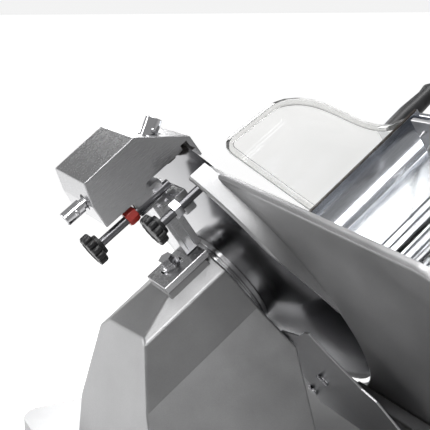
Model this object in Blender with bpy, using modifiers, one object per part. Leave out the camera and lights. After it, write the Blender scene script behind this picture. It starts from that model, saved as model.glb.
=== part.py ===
"""Gravity-feed deli slicer, 330 mm blade: base, inclined cutting head, sharpener, carriage.

Lengths in this file are millimetres and MM turns them into Blender's metres.
Head coordinates are (s, y, u): s runs square to the blade towards the slice side, y to the
rear of the machine, and u up the slope of the blade. (0, 0, 0) is on the blade's axis.
"""
import math

import bmesh
import bpy
from mathutils import Matrix, Vector

MM = 0.001
GAP = 0.3                       # clearance between neighbouring parts

# Driving dimensions
TILT = math.radians(36)         # lean of the blade from the vertical
BLADE_R = 165.0
BLADE_S = -9.5                  # cutting plane
CENTRE_X = 96.1                 # blade axis, sideways from the middle of the whole machine
CENTRE_Y = -56.9                # and to the rear of that middle
CENTRE_Z = 290.0                # blade centre above the table
BASE_TOP = 90.0
BASE_BOTTOM = 15.0
HUB_R = 54.0
FACE_S = 29.3                   # head casting's face behind the blade hub
RING_IN = 167.8                 # blade guard opening
RING_OUT = 174.5
GUARD_T = 8.5
PULLEY_R = 36.0
MOTOR_PULLEY_R = 22.0
BELT_S = (100.0, 112.0)         # span of the belt along the blade axis
MOTOR_Y, MOTOR_U = 15.0, -95.0
TRAY_U = -126.0                 # top of the product tray
FENCE_Y = -126.0                # guard side of the tray fence
ROD_X, ROD_Z = -238.0, 45.0     # carriage guide rod, from the blade axis and from the table
BONNET_FRONT, BONNET_BACK = 50.0, -38.0
KNOB_ROD = (42.0, 139.0)        # y and u of the sharpener's clamping rod
SET_ROD = (61.0, 123.5)         # y and u of the sharpener's setting screw
PRESS = (30.0, 172.0)           # y and u of the grinding button
STONE = (24.0, 156.0)           # y and u of the grinding stone
DIAL_X = -20.0


def clear_scene():
    for obj in list(bpy.data.objects):
        bpy.data.objects.remove(obj, do_unlink=True)


def new_collection(name):
    made = bpy.data.collections.new(name)
    bpy.context.scene.collection.children.link(made)
    return made


clear_scene()
PARTS = new_collection("deli_slicer")
CUTTERS = new_collection("cutters")


def empty(name, location, rotation=(0, 0, 0), parent=None):
    made = bpy.data.objects.new(name, None)
    made.location = Vector(location) * MM
    made.rotation_euler = rotation
    made.parent = parent
    made.empty_display_size = 0.03
    PARTS.objects.link(made)
    return made


machine = empty("machine", (CENTRE_X, CENTRE_Y, 0))
head = empty("head", (0, 0, CENTRE_Z), (0, TILT, 0), machine)


def from_head(s, y, u):
    """Head coordinates as machine coordinates, in millimetres."""
    return Vector((s * math.cos(TILT) + u * math.sin(TILT), y,
                   CENTRE_Z - s * math.sin(TILT) + u * math.cos(TILT)))


# ---------------------------------------------------------------- materials
def material(name, colour, roughness, metallic=0.0, alpha=1.0):
    made = bpy.data.materials.new(name)
    made.use_nodes = True
    shader = made.node_tree.nodes["Principled BSDF"]
    shader.inputs["Base Color"].default_value = (*colour, 1)
    shader.inputs["Roughness"].default_value = roughness
    shader.inputs["Metallic"].default_value = metallic
    shader.inputs["Alpha"].default_value = alpha
    return made


def cast(name):
    return material(name, (0.42, 0.42, 0.43), 0.38, 1.0)


def polished(name):
    return material(name, (0.62, 0.62, 0.63), 0.22, 1.0)


def chrome(name):
    return material(name, (0.80, 0.80, 0.82), 0.08, 1.0)


def dark_steel(name):
    return material(name, (0.20, 0.20, 0.21), 0.25, 1.0)


def black_plastic(name):
    return material(name, (0.015, 0.015, 0.016), 0.35)


def rubber(name):
    return material(name, (0.02, 0.02, 0.02), 0.75)


def stone(name):
    return material(name, (0.10, 0.09, 0.09), 0.95)


# ---------------------------------------------------------------- modelling helpers
def add_object(name, mesh, skin, parent, pivot=(0, 0, 0), collection=None):
    """Give a millimetre mesh its object, with the origin on pivot."""
    mesh.transform(Matrix.Scale(MM, 4) @ Matrix.Translation(-Vector(pivot)))
    made = bpy.data.objects.new(name, mesh)
    if skin:
        mesh.materials.append(skin)
    made.parent = parent
    made.location = Vector(pivot) * MM
    (collection or PARTS).objects.link(made)
    if collection is CUTTERS:
        made.hide_render = True
        made.display_type = "WIRE"
    return made


def mesh_from(bm, name):
    bmesh.ops.recalc_face_normals(bm, faces=bm.faces)
    mesh = bpy.data.meshes.new(name)
    bm.to_mesh(mesh)
    bm.free()
    return mesh


def box_mesh(name, low, high, round_by=0.0, steps=2, turn=None):
    """A box between two corners, its edges rounded by round_by."""
    bm = bmesh.new()
    size = Vector(high) - Vector(low)
    bmesh.ops.create_cube(bm, size=1.0, matrix=Matrix.Diagonal((*size, 1)))
    if round_by:
        bmesh.ops.bevel(bm, geom=bm.edges[:], offset=round_by, segments=steps, profile=0.5, affect="EDGES")
    if turn:
        bmesh.ops.rotate(bm, verts=bm.verts, cent=(0, 0, 0), matrix=turn)
    bmesh.ops.translate(bm, verts=bm.verts, vec=(Vector(high) + Vector(low)) / 2)
    return mesh_from(bm, name)


def cylinder_mesh(name, start, end, radius, end_radius=None, sides=24):
    """A round bar or cone from start to end."""
    start, end = Vector(start), Vector(end)
    bm = bmesh.new()
    bmesh.ops.create_cone(bm, cap_ends=True, segments=sides, radius1=radius, depth=(end - start).length,
                          radius2=radius if end_radius is None else end_radius)
    turn = (end - start).to_track_quat("Z", "Y").to_matrix()
    bmesh.ops.rotate(bm, verts=bm.verts, cent=(0, 0, 0), matrix=turn)
    bmesh.ops.translate(bm, verts=bm.verts, vec=(start + end) / 2)
    return mesh_from(bm, name)


def trim(bm, point, normal):
    """Cut away what lies beyond a plane and close the cut."""
    cut = bmesh.ops.bisect_plane(bm, geom=bm.verts[:] + bm.edges[:] + bm.faces[:],
                                 plane_co=point, plane_no=normal, clear_outer=True)
    rim = [item for item in cut["geom_cut"] if isinstance(item, bmesh.types.BMEdge)]
    if rim:
        bmesh.ops.contextual_create(bm, geom=rim)


def hull_mesh(name, points, cuts=(), round_by=0.0, steps=2):
    """The convex solid round some corners, then trimmed by planes (point, outward normal)."""
    bm = bmesh.new()
    for point in points:
        bm.verts.new(point)
    made = bmesh.ops.convex_hull(bm, input=bm.verts)
    loose = [item for item in made["geom_interior"] if isinstance(item, bmesh.types.BMVert)]
    bmesh.ops.delete(bm, geom=loose, context="VERTS")
    for point, normal in cuts:
        trim(bm, point, normal)
    bmesh.ops.dissolve_limit(bm, angle_limit=math.radians(1), verts=bm.verts, edges=bm.edges)
    if round_by:
        bmesh.ops.bevel(bm, geom=bm.edges[:], offset=round_by, segments=steps, profile=0.5, affect="EDGES")
    return mesh_from(bm, name)


def outline_mesh(name, outline, thickness, edge=0.0, hole=None, edge_steps=1):
    """A flat outline in X and Y, extruded about Z = 0, with rounded edges; hole is an inner outline."""
    curve = bpy.data.curves.new(name, "CURVE")
    curve.dimensions = "2D"
    curve.fill_mode = "BOTH"
    curve.extrude = thickness / 2 - edge
    curve.bevel_depth = edge
    curve.bevel_resolution = edge_steps
    curve.offset = -edge
    for points in [outline] + ([hole] if hole else []):
        spline = curve.splines.new("POLY")
        spline.points.add(len(points) - 1)
        for item, (x, y) in zip(spline.points, points):
            item.co = (x, y, 0, 1)
        spline.use_cyclic_u = True
    drawn = bpy.data.objects.new(name, curve)
    bpy.context.scene.collection.objects.link(drawn)
    graph = bpy.context.evaluated_depsgraph_get()
    mesh = bpy.data.meshes.new_from_object(drawn.evaluated_get(graph))
    bpy.data.objects.remove(drawn)
    bm = bmesh.new()
    bm.from_mesh(mesh)
    bmesh.ops.remove_doubles(bm, verts=bm.verts, dist=0.001)
    bmesh.ops.dissolve_degenerate(bm, dist=0.001, edges=bm.edges)
    return mesh_from(bm, name)


def blade_plane(mesh, s_low, s_high):
    """Stand an outline drawn in (y, u) in the head, between two s values."""
    mesh.transform(Matrix.Translation(((s_low + s_high) / 2, 0, 0)) @
                   Matrix(((0, 0, 1, 0), (1, 0, 0, 0), (0, 1, 0, 0), (0, 0, 0, 1))))
    return mesh


def travel_plane(mesh, y_low, y_high):
    """Stand an outline drawn in (s, u) across the carriage's travel, between two y values."""
    mesh.transform(Matrix.Translation((0, (y_low + y_high) / 2, 0)) @
                   Matrix(((1, 0, 0, 0), (0, 0, -1, 0), (0, 1, 0, 0), (0, 0, 0, 1))))
    return mesh


def arc(centre, radius, start, end, steps):
    """Points of an arc, angles in degrees anticlockwise from the first axis."""
    angles = [math.radians(start + (end - start) * i / steps) for i in range(steps + 1)]
    return [(centre[0] + radius * math.cos(a), centre[1] + radius * math.sin(a)) for a in angles]


def rounded(corners, radius, steps=4):
    """A closed outline with each corner (x, y) or (x, y, radius) rounded."""
    points = []
    for i, corner in enumerate(corners):
        here = Vector(corner[:2])
        size = corner[2] if len(corner) > 2 else radius
        back = (Vector(corners[i - 1][:2]) - here).normalized()
        ahead = (Vector(corners[(i + 1) % len(corners)][:2]) - here).normalized()
        half = back.angle(ahead) / 2
        if size < 0.01 or half > math.radians(89):
            points.append(tuple(here))
            continue
        reach = size / math.tan(half)
        middle = here + (back + ahead).normalized() * (size / math.sin(half))
        first = here + back * reach - middle
        last = here + ahead * reach - middle
        turn = first.angle_signed(last)
        for step in range(steps + 1):
            angle = -turn * step / steps
            points.append(tuple(middle + Matrix.Rotation(angle, 2) @ first))
    return points


def turned(name, profile, skin, parent, pivot=(0, 0, 0), axis="S", steps=32, ring=False,
           collection=None):
    """A turned part from (radius, height) points; a ring's profile is closed off the axis."""
    area = sum(a[0] * b[1] - b[0] * a[1] for a, b in zip(profile, profile[1:] + profile[:1]))
    points = profile if area < 0 else profile[::-1]
    mesh = bpy.data.meshes.new(name)
    edges = [(i, i + 1) for i in range(len(points) - 1)]
    if ring:
        edges.append((len(points) - 1, 0))
    mesh.from_pydata([(r * MM, 0, z * MM) for r, z in points], edges, [])
    if skin:
        mesh.materials.append(skin)
    made = bpy.data.objects.new(name, mesh)
    made.parent = parent
    made.location = Vector(pivot) * MM
    made.rotation_euler = {"S": (0, math.pi / 2, 0), "Y": (-math.pi / 2, 0, 0), "Z": (0, 0, 0)}[axis]
    screw = made.modifiers.new("turn", "SCREW")
    screw.axis = "Z"
    screw.steps = screw.render_steps = steps
    screw.use_merge_vertices = True
    screw.merge_threshold = 0.00002
    screw.use_normal_calculate = False
    screw.use_smooth_shade = True
    (collection or PARTS).objects.link(made)
    if collection is CUTTERS:
        made.hide_render = True
        made.display_type = "WIRE"
    return made


def combine_turned(made, other_mesh):
    """Join a mesh in head coordinates onto a part turned about the blade axis."""
    return combine(made, other_mesh, head, operation="UNION")


def smooth(made, angle=30):
    """Shade the round faces smooth and keep edges above the angle sharp."""
    for face in made.data.polygons:
        face.use_smooth = True
    made.data.set_sharp_from_angle(angle=math.radians(angle))
    return made


def combine(made, other_mesh, parent, pivot=(0, 0, 0), operation="DIFFERENCE"):
    """Cut a mesh out of an object, or join it on, with a Boolean modifier."""
    tool = add_object(other_mesh.name + "_tool", other_mesh, None, parent, pivot, CUTTERS)
    boolean = made.modifiers.new(operation.lower(), "BOOLEAN")
    boolean.operation = operation
    boolean.solver = "EXACT"
    boolean.object = tool
    return made


def bevelled(made, width, segments=2, angle=30):
    """Round the edges that are sharper than the angle."""
    bevel = made.modifiers.new("round", "BEVEL")
    bevel.width = width * MM
    bevel.segments = segments
    bevel.limit_method = "ANGLE"
    bevel.angle_limit = math.radians(angle)
    return made


def group(name, meshes):
    """Separate solids in one mesh."""
    bm = bmesh.new()
    for mesh in meshes:
        bm.from_mesh(mesh)
        bpy.data.meshes.remove(mesh)
    joined = bpy.data.meshes.new(name)
    bm.to_mesh(joined)
    bm.free()
    return joined


# ---------------------------------------------------------------- base
BASE_CORNERS = [(-205, -240), (40, -240), (75, -185), (185, -185), (185, 195), (-205, 195)]
FOOT_PLACES = {"foot_front_product": (-170, -205), "foot_front_slice": (148, -148),
               "foot_rear_slice": (150, 160), "foot_rear_product": (-170, 160)}


def inset(corners, by):
    """Move each side of an anticlockwise outline inwards."""
    points = []
    for i, corner in enumerate(corners):
        here = Vector(corner)
        before = (here - Vector(corners[i - 1])).normalized()
        after = (Vector(corners[(i + 1) % len(corners)]) - here).normalized()
        normal = Vector((-before.y, before.x)) + Vector((-after.y, after.x))
        points.append(tuple(here + normal * (by / (1 + before.dot(after)))))
    return points


def make_base():
    wall = 6.0
    tall = BASE_TOP - BASE_BOTTOM
    shell = outline_mesh("base_body", rounded(BASE_CORNERS, 24, 6), tall)
    shell.transform(Matrix.Translation((0, 0, BASE_BOTTOM + tall / 2)))
    base = add_object("base_body", shell, cast("base_casting"), machine)
    inside = outline_mesh("base_inside", rounded(inset(BASE_CORNERS, wall), 46, 4), tall)
    inside.transform(Matrix.Translation((0, 0, BASE_BOTTOM + tall / 2 - wall)))
    combine(base, inside, machine)
    under_column = box_mesh("column_opening", (8, -50, BASE_TOP - 20), (138, 110, BASE_TOP + 20))
    combine(base, under_column, machine)
    cam_slot = box_mesh("cam_slot", (-60, -222, BASE_TOP - 20), (-8, -196, BASE_TOP + 20))
    combine(base, cam_slot, machine)
    shaft_hole = cylinder_mesh("dial_hole", (DIAL_X, -260, 45), (DIAL_X, -220, 45), 7)
    combine(base, shaft_hole, machine)
    inlet_hole = cylinder_mesh("inlet_hole", (90, 170, 45), (90, 210, 45), 9)
    combine(base, inlet_hole, machine)
    for x in (-160, -120):
        combine(base, cylinder_mesh("switch_hole", (x, -260, 52), (x, -220, 52), 13), machine)
    for y in (-190, 178):
        lug = box_mesh("rod_lug", (-256, y, 28), (-186, y + 12, 64), 3)
        combine(base, lug, machine, operation="UNION")
    combine(base, cylinder_mesh("rod_bore", (ROD_X, -300, ROD_Z), (ROD_X, 300, ROD_Z), 10 + GAP), machine)
    smooth(base)

    cover = outline_mesh("base_cover", rounded(inset(BASE_CORNERS, 60), 16, 3), 2)
    cover.transform(Matrix.Translation((0, 0, BASE_BOTTOM - GAP - 1)))
    add_object("base_cover", cover, material("cover_sheet", (0.5, 0.5, 0.5), 0.4, 1.0), machine)


def make_feet():
    skin = rubber("foot_rubber")
    for name, (x, y) in FOOT_PLACES.items():
        pad = cylinder_mesh(name, (x, y, 0), (x, y, BASE_BOTTOM - GAP), 20, 15)
        smooth(add_object(name, pad, skin, machine, (x, y, 0)))


def make_controls():
    front = -240.0
    panel = outline_mesh("control_panel", rounded([(-185, 27), (-95, 27), (-95, 77), (-185, 77)], 6), 2)
    panel = travel_plane(panel, front - GAP - 2, front - GAP)
    plate = add_object("control_panel", panel, material("panel_black", (0.03, 0.03, 0.03), 0.4), machine)
    for x in (-160, -120):
        combine(plate, cylinder_mesh("panel_hole", (x, -250, 52), (x, -235, 52), 11), machine)
    cap = [(0, 21), (8, 21), (10.4, 19.5), (10.4, 0), (0, 0)]
    green, red = (0.05, 0.35, 0.10), (0.6, 0.03, 0.03)
    for name, x, colour in (("start_button", -160, green), ("stop_button", -120, red)):
        turned(name, cap, material(name + "_cap", colour, 0.3), machine, (x, front - 9, 52), "Y", 24)
    gland = [(0, -6), (8.6, -6), (8.6, 6), (13, 6.3), (13, 14), (9, 18), (6, 20), (0, 20)]
    turned("mains_gland", gland, black_plastic("gland_nylon"), machine, (90, 195, 45), "Y", 24)


def make_dial():
    pivot = (DIAL_X, 0, 45)
    scallops = 12
    ring = []
    for i in range(scallops * 4):
        angle = math.tau * i / (scallops * 4)
        radius = 33 + 1.6 * math.cos(scallops * angle)
        ring.append((DIAL_X + radius * math.cos(angle), 45 + radius * math.sin(angle)))
    knob = travel_plane(outline_mesh("thickness_dial", ring, 20, 1.5), -264, -244)
    dial = add_object("thickness_dial", knob, black_plastic("dial_plastic"), machine, pivot)
    combine(dial, cylinder_mesh("dial_bore", (DIAL_X, -256, 45), (DIAL_X, -230, 45), 6.3), machine)
    smooth(dial)
    shaft = [(0, -255.5), (6, -255.5), (6, -212), (24, -212), (24, -202), (6, -202), (6, -190), (0, -190)]
    turned("dial_cam_shaft", shaft, dark_steel("shaft_steel"), machine, pivot, "Y", 28)


# ---------------------------------------------------------------- head casting
END_POINT = (131.6, 60.0, CENTRE_Z - 40.0)          # on the end facet, in machine axes
END_NORMAL = (0.991, 0.0605, 0.117)
SIDE_X = -1.0                                       # the casting's upright side under the blade
ROOF_POINT, ROOF_SLOPE = (80.0, 0.0, 58.0), 10.0 / 53.0
SECTION = [(6, 58), (44, 57), (60, 45), (75, 1), (150, -116), (150, -260), (-64, -260), (-64, -20), (-34, 40)]


def column_solid(name, shrink):
    """The head casting's prism along the blade axis, trimmed by its end, roof, side and foot."""
    bm = bmesh.new()
    outline = [bm.verts.new(from_head(FACE_S + shrink, y, u)) for y, u in inset(SECTION[::-1], shrink)]
    near = bm.faces.new(outline)
    swept = bmesh.ops.extrude_face_region(bm, geom=[near])
    moved = [item for item in swept["geom"] if isinstance(item, bmesh.types.BMVert)]
    bmesh.ops.translate(bm, verts=moved, vec=from_head(300, 0, 0) - from_head(0, 0, 0))
    foot = BASE_TOP + (-40.0 if shrink else GAP)
    roof = Matrix.Rotation(TILT, 3, "Y") @ Vector((ROOF_SLOPE, 0, 1)).normalized()
    end = Vector(END_NORMAL).normalized()
    cuts = [(Vector(END_POINT) - end * shrink, end), (from_head(*ROOF_POINT) - roof * shrink, roof),
            (Vector((SIDE_X + shrink, 0, 0)), Vector((-1, 0, 0))), (Vector((0, 0, foot)), Vector((0, 0, -1)))]
    for point, normal in cuts:
        trim(bm, point, normal)
    return mesh_from(bm, name)


def make_head_casting():
    wall = 6.0
    body = add_object("head_casting", column_solid("head_casting", 0), cast("head_aluminium"), machine)
    bevelled(body, 2.2, 3, 20)
    pad = hull_mesh("foot_pad", [(34, 8, 40), (84, 8, 40), (34, 50, 40), (84, 50, 40),
                                 (36, 10, 60.4), (83, 10, 60.4), (36, 48, 60.4), (83, 48, 60.4)], round_by=1.0)
    combine(body, pad, head, operation="UNION")
    boss = cylinder_mesh("tie_boss", (150, 0, 0), (164, 0, 0), 9, sides=20)
    combine(body, boss, head, operation="UNION")
    combine(body, column_solid("head_room", wall), machine)
    combine(body, cylinder_mesh("spindle_bore", (20, 0, 0), (45, 0, 0), 36.2, sides=32), head)
    combine(body, cylinder_mesh("tie_bore", (120, 0, 0), (158, 0, 0), 5, sides=16), head)
    smooth(body)

    carrier = [(26.2, 31), (35.5, 31), (35.5, 36), (40, 36), (40, 42), (33, 42), (33, 94), (26.2, 94)]
    turned("bearing_sleeve", carrier, cast("sleeve_iron"), head, ring=True)
    race = [(12.3, 44), (25.9, 44), (25.9, 90), (12.3, 90)]
    turned("spindle_bearing", race, chrome("bearing_steel"), head, ring=True)


# ---------------------------------------------------------------- drive
def belt_outline(offset):
    """The belt's path round both pulleys, at an offset from their rims."""
    rounds = (((0.0, 0.0), PULLEY_R), ((MOTOR_Y, MOTOR_U), MOTOR_PULLEY_R))
    points = []
    count = 48
    for i in range(count):
        way = Vector((math.cos(math.tau * i / count), math.sin(math.tau * i / count)))
        reach = [way.dot(Vector(centre)) + radius for centre, radius in rounds]
        centre, radius = rounds[reach.index(max(reach))]
        points.append((centre[0] + (radius + offset) * way.x, centre[1] + (radius + offset) * way.y))
    return points


def pulley_profile(radius, bore):
    low, high = BELT_S
    flange = radius + 3.0
    return [(bore, low - 2), (flange, low - 2), (flange, low), (radius, low + 0.2),
            (radius, high - 0.2), (flange, high), (flange, high + 1.7), (bore, high + 1.7)]


def make_drive():
    half = BLADE_R
    face = [(12.3, 12.5), (56, 12.5), (148, -8.0), (156, -9.3), (half - 0.2, BLADE_S)]
    back = [(half, BLADE_S + 0.4), (157, -6.6), (149, -4.6), (56, 16.7), (12.3, 16.7)]
    blade = turned("blade", face + back, material("blade_steel", (0.30, 0.30, 0.31), 0.10, 1.0), head,
                   steps=60, ring=True)
    flange = [(12.3, 17), (HUB_R, 17), (HUB_R, 21.5), (51.5, 22.2), (51.5, 23.4), (HUB_R, 24.1),
              (HUB_R, 28.8), (12.3, 28.8)]
    turned("blade_hub", flange, polished("hub_steel"), head, steps=48, ring=True)
    clamp = [(26, 9.4), (45, 9.4), (46, 10.4), (46, 12.2), (26, 12.2)]
    ring = turned("blade_clamp_ring", clamp, polished("clamp_ring_steel"), head, steps=32, ring=True)
    bolts = []
    for i in range(4):
        angle = math.tau * (i + 0.5) / 4
        y, u = 35.5 * math.cos(angle), 35.5 * math.sin(angle)
        bolts.append(cylinder_mesh("bolt_head", (7.4, y, u), (10.5, y, u), 5.0, sides=6))
    combine_turned(ring, group("bolt_heads", bolts))

    spindle = [(4.6, 13), (11.9, 13), (11.9, BELT_S[1] + 1.5), (4.6, BELT_S[1] + 1.5)]
    turned("spindle", spindle, polished("spindle_steel"), head, ring=True, steps=24)
    turned("blade_pulley", pulley_profile(PULLEY_R, 12.3), cast("pulley_iron"), head, steps=40, ring=True)
    belt = outline_mesh("drive_belt", belt_outline(3.0), BELT_S[1] - BELT_S[0] - 1.2, hole=belt_outline(0.4))
    add_object("drive_belt", blade_plane(belt, BELT_S[0] + 0.6, BELT_S[1] - 0.6), rubber("belt_rubber"), head)

    disc = [(0, -9.1), (60, -9.1), (142, -9.0), (142, -7.8), (60, -7.5), (30, -7.5), (22, 3)]
    tie_rod = [(4, 3), (4, 156), (0, 156)]
    turned("blade_cover", disc + tie_rod, polished("cover_steel"), head, steps=40)

    place = (0, MOTOR_Y, MOTOR_U)
    motor = [(7.3, 119.3), (46, 119.3), (46, 125), (40, 125), (40, 180), (34, 190), (7.3, 190)]
    turned("motor", motor, material("motor_paint", (0.10, 0.11, 0.12), 0.5), head, place, steps=32, ring=True)
    rotor = [(0, 96)] + pulley_profile(MOTOR_PULLEY_R, 7) + [(7, 185), (0, 185)]
    turned("motor_pulley", rotor, cast("motor_pulley_iron"), head, place, steps=32)


# ---------------------------------------------------------------- blade guard and gauge plate
def make_guard():
    opening = arc((0, 0), RING_IN, 60, -113, 34)
    corners = [(-72, -150), (-78, -182), (372, -186), (378, 60), (345, 119), (206, 132), (95, 143)]
    bottom = rounded(corners, 30, 4)
    edge = [point for point in bottom if math.hypot(*point) > RING_IN + 6]
    wing = outline_mesh("blade_guard", opening + edge, GUARD_T, 3.0, edge_steps=1)
    guard = add_object("blade_guard", blade_plane(wing, -GUARD_T, 0), cast("guard_aluminium"), head)
    lip = [(RING_IN, -4), (RING_IN, 13), (169.2, 14.6), (171, 15), (173.4, 14.5), (RING_OUT, 13),
           (RING_OUT, -4)]
    rim = ring_sector("guard_rim", lip, 60, 2, 20, [((15, 148, 85.5), (79.5, 0, -15))])
    combine(guard, rim, head, operation="UNION")
    smooth(guard, 35)

    leg = hull_mesh("guard_bracket", [from_head(s, y, u) for s in (0.3, 14) for y in (105, 215)
                                      for u in (-120, -300)],
                    [(Vector((0, 0, BASE_TOP + GAP)), (0, 0, -1))])
    bevelled(add_object("guard_bracket", leg, cast("bracket_aluminium"), machine), 2)


def ring_sector(name, profile, start, end, steps, cuts=()):
    """Part of a turned ring about the blade axis, angles in degrees from y towards u."""
    bm = bmesh.new()
    rings = []
    for i in range(steps + 1):
        angle = math.radians(start + (end - start) * i / steps)
        rings.append([bm.verts.new((s, r * math.cos(angle), r * math.sin(angle))) for r, s in profile])
    count = len(profile)
    for one, two in zip(rings, rings[1:]):
        for k in range(count):
            bm.faces.new((one[k], one[(k + 1) % count], two[(k + 1) % count], two[k]))
    bm.faces.new(rings[0][::-1])
    bm.faces.new(rings[-1])
    for point, normal in cuts:
        trim(bm, point, normal)
    return mesh_from(bm, name)


def make_gauge():
    low, high = -9.9, -2.4
    curve = arc((0, 0), 168.0, 121, 241, 18)
    edge = rounded([(-90, 144, 0), (-84, -147, 0), (-250, -147, 20), (-262, 80, 30), (-215, 122, 40)], 10, 4)
    plate = outline_mesh("gauge_plate", curve + edge[2:], high - low)
    plate = blade_plane(plate, low, high)
    bevelled(add_object("gauge_plate", plate, polished("gauge_aluminium"), head), 1.5, 1)
    arm = hull_mesh("gauge_arm", [(-2.1, -232, -70), (-2.1, -198, -70), (-2.1, -232, -126), (-2.1, -198, -126),
                                  (12, -228, -90), (12, -202, -90), (48, -228, -128), (48, -202, -128),
                                  (48, -228, -134.5), (48, -202, -134.5)])
    block = box_mesh("gauge_carrier", (36, -231, -165), (70, -199, -134), 1.5)
    carrier = add_object("gauge_carrier", block, cast("carrier_iron"), head)
    combine(carrier, arm, head, operation="UNION")
    finger = [from_head(s, y, -160) for s in (47, 59) for y in (-221, -209)]
    finger += [(DIAL_X - x, y, 77.0) for x in (6, 14) for y in (-221, -214)]
    combine(carrier, hull_mesh("cam_finger", finger), machine, operation="UNION")
    combine(carrier, cylinder_mesh("carrier_bore", (0, -215, -150), (120, -215, -150), 8.4), head)
    floor = (Vector((0, 0, BASE_TOP + GAP)), Vector((0, 0, -1)))
    first, second = [hull_mesh("stand", [from_head(a, y, u) for a in (s, s + 10) for y in (-226, -204)
                                         for u in (-138, -300)], [floor]) for s in (18, 106)]
    stand = add_object("gauge_guide", first, cast("stand_iron"), machine)
    rod = cylinder_mesh("gauge_rod", (20, -215, -150), (110, -215, -150), 8, sides=20)
    combine(stand, rod, head, operation="UNION")
    combine(stand, second, machine, operation="UNION")
    sole = box_mesh("stand_sole", (-160, -238, BASE_TOP + GAP), (5, -224, BASE_TOP + 8), 1)
    combine(stand, sole, machine, operation="UNION")


# ---------------------------------------------------------------- deflector
def make_deflector():
    shape = [(70, -40), (84, -30), (124, -17), (145, -2), (156, 2), (160, -8), (189, -51), (203, -60),
             (215, -110), (150, -165), (40, -165), (50, -110)]
    plate = blade_plane(outline_mesh("slice_deflector", shape, 2), 26.4, 28.4)
    add_object("slice_deflector", plate, cast("deflector_steel"), head)
    for end, y, u, radius in (("upper", 109, -85, 7.0), ("lower", 51, -136, 6.0)):
        name = "deflector_screw_" + end
        screw = slotted_head(28.7, y, u, radius)
        screw = add_object(name, screw, polished(name + "_steel"), head, (28.7, y, u))
        slot = box_mesh("slot", (30, y - radius, u - 0.8), (40, y + radius, u + 0.8),
                        turn=Matrix.Rotation(math.radians(35), 3, "X"))
        combine(screw, slot, head)


def slotted_head(s, y, u, radius):
    """A low round screw head with its slot, standing on s."""
    bm = bmesh.new()
    sides = 16
    circle = arc((0, 0), 1, 0, 360 - 360 / sides, sides - 1)
    below = None
    for r, h in ((radius, 0.0), (radius, 1.6), (radius * 0.86, 2.6)):
        above = [bm.verts.new((s + h, y + r * a, u + r * b)) for a, b in circle]
        if below is None:
            bm.faces.new(above)
        else:
            for k in range(sides):
                bm.faces.new((below[k], below[(k + 1) % sides], above[(k + 1) % sides], above[k]))
        below = above
    bm.faces.new(below)
    return mesh_from(bm, "screw_head")


# ---------------------------------------------------------------- sharpener
def bonnet_outline(shrink):
    """The bonnet's face in (s, u): flat top, long slope to the product side."""
    return [(88 - shrink, 149 - 3 * shrink), (87 - shrink, 172), (80.5 - shrink, 193 - shrink),
            (23 - 0.4 * shrink, 195 - shrink), (-18 + shrink, 162 - 1.1 * shrink),
            (-18 + shrink, 141 - 3 * shrink), (40, 141 - 3 * shrink)]


def bonnet_solid(shrink):
    """The bonnet's body: the face swept in y, rounded over along its top at the far side."""
    layers = [(BONNET_FRONT - shrink, 0.0)]
    roll, steps = 14.0, 6
    for step in range(steps + 1):
        angle = math.radians(90 * step / steps)
        layers.append((BONNET_BACK + shrink + roll * (1 - math.sin(angle)), roll * (1 - math.cos(angle))))
    points = []
    for y, pull in layers:
        for s, u in bonnet_outline(shrink):
            lower = pull if u > 160 else 0.0
            points.append((s + (0.35 * lower if s < 0 else -0.35 * lower), y, u - lower))
    return points


def make_bonnet():
    wall = 2.0
    body = add_object("sharpener_bonnet", hull_mesh("sharpener_bonnet", bonnet_solid(0.0)),
                      polished("bonnet_aluminium"), head)
    bevelled(body, 3.0, 3, 18)
    lip, far = -60, 80
    combine(body, box_mesh("under_cut", (44, lip, 100), (120, far, 149.6)), head)
    under = hull_mesh("shelf_cut", [(s, y, u) for s, u in ((46, 120), (46, 146), (38, 156), (-12, 156.5),
                                                           (-16, 150), (-16, 120)) for y in (lip, far)])
    combine(body, under, head)
    combine(body, hull_mesh("bonnet_room", bonnet_solid(wall)), head)
    combine(body, box_mesh("blade_slot", (-13, 40, 130), (-5.5, 60, 161)), head)
    combine(body, box_mesh("rear_blade_slot", (-13, -55, 130), (-5.5, 4, 166.5)), head)
    combine(body, cylinder_mesh("button_hole", (30, 30, 166), (-40, 30, 208), 10.2, sides=28), head)
    combine(body, cylinder_mesh("press_hole", (60, *PRESS), (110, *PRESS), 7.6), head)
    smooth(body, 25)


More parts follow.
